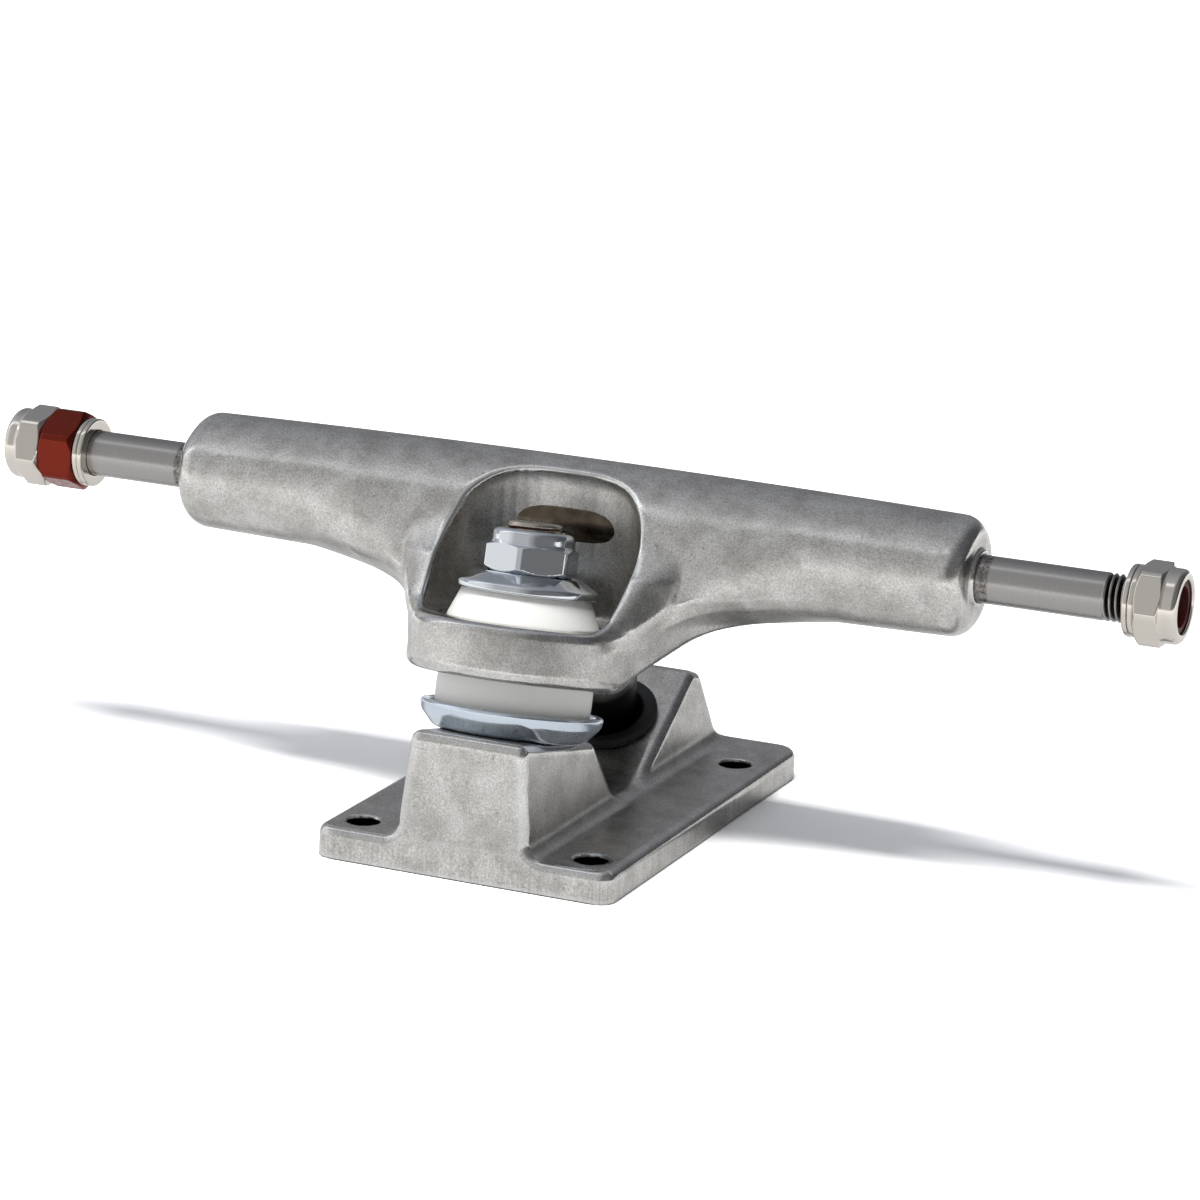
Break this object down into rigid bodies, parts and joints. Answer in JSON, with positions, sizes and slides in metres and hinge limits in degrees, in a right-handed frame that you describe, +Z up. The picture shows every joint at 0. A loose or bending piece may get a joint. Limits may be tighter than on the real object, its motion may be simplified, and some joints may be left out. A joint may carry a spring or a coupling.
{
  "type": "skateboard truck",
  "caption": "Skateboard truck with a cast baseplate, a steering hanger on a leaning kingpin and urethane bushings, and a threaded steel axle with lock nuts and washers.",
  "frame": {"origin": "centre of the deck bolt pattern on the baseplate's underside", "axes": "+X along the axle, +Z up from the deck face to the axle, and the kingpin on the -Y side"},
  "size_m": [0.2145, 0.0873, 0.063],
  "materials": {
    "cast_aluminium": "cast and tumbled, raw",
    "axle_steel": "turned and ground, bare",
    "kingpin_steel": "zinc plated",
    "bright_zinc": "bright zinc plating",
    "nickel": "bright nickel plating",
    "red_anodised": "red, glossy",
    "white_urethane": "satin",
    "black_urethane": "matt",
    "insert_nylon": "matt"
  },
  "bodies": {
    "base": {"baseplate": "cast_aluminium", "pivot_cup": "black_urethane", "kingpin": "kingpin_steel", "bottom_cup_washer": "bright_zinc", "bottom_bushing": "white_urethane", "top_bushing": "white_urethane", "top_cup_washer": "bright_zinc"},
    "hanger": {"hanger": "cast_aluminium", "axle": "axle_steel"},
    "kingpin_nut": {"kingpin_nut": "bright_zinc", "kingpin_nut_insert": "insert_nylon"},
    "left_axle_nut": {"left_axle_nut": "nickel", "left_axle_nut_insert": "insert_nylon"},
    "thread_chaser_nut": {"thread_chaser_nut": "red_anodised"},
    "right_axle_nut": {"right_axle_nut": "nickel", "right_axle_nut_insert": "insert_nylon"},
    "left_inner_washer": {"left_inner_washer": "nickel"},
    "left_outer_washer": {"left_outer_washer": "nickel"},
    "right_inner_washer": {"right_inner_washer": "nickel"},
    "right_outer_washer": {"right_outer_washer": "nickel"}
  },
  "joints": [
    {"name": "steer", "type": "hinge", "parent": "base", "child": "hanger", "pos_m": [0, -0.017, 0.0346], "axis": [0, -0.8599, 0.5105], "range_deg": [-14, 14], "stiffness_Nm_per_rad": 25, "deforming": ["bottom_bushing", "top_bushing"]},
    {"name": "kingpin_nut_turn", "type": "hinge", "parent": "base", "child": "kingpin_nut", "pos_m": [0, -0.01427, 0.0468], "axis": [0, 0.2181, 0.9759], "continuous": true},
    {"name": "left_axle_nut_turn", "type": "hinge", "parent": "hanger", "child": "left_axle_nut", "pos_m": [-0.104, 0.0041, 0.0521], "axis": [1, 0, 0], "continuous": true},
    {"name": "thread_chaser_nut_turn", "type": "hinge", "parent": "hanger", "child": "thread_chaser_nut", "pos_m": [-0.097, 0.0041, 0.0521], "axis": [1, 0, 0], "continuous": true},
    {"name": "right_axle_nut_turn", "type": "hinge", "parent": "hanger", "child": "right_axle_nut", "pos_m": [0.103, 0.0041, 0.0521], "axis": [1, 0, 0], "continuous": true},
    {"name": "left_inner_washer_turn", "type": "hinge", "parent": "hanger", "child": "left_inner_washer", "pos_m": [-0.0923, 0.0041, 0.0521], "axis": [1, 0, 0], "continuous": true},
    {"name": "left_outer_washer_turn", "type": "hinge", "parent": "hanger", "child": "left_outer_washer", "pos_m": [-0.0933, 0.0041, 0.0521], "axis": [1, 0, 0], "continuous": true},
    {"name": "right_inner_washer_turn", "type": "hinge", "parent": "hanger", "child": "right_inner_washer", "pos_m": [0.0983, 0.0041, 0.0521], "axis": [1, 0, 0], "continuous": true},
    {"name": "right_outer_washer_turn", "type": "hinge", "parent": "hanger", "child": "right_outer_washer", "pos_m": [0.0992, 0.0041, 0.0521], "axis": [1, 0, 0], "continuous": true}
  ]
}
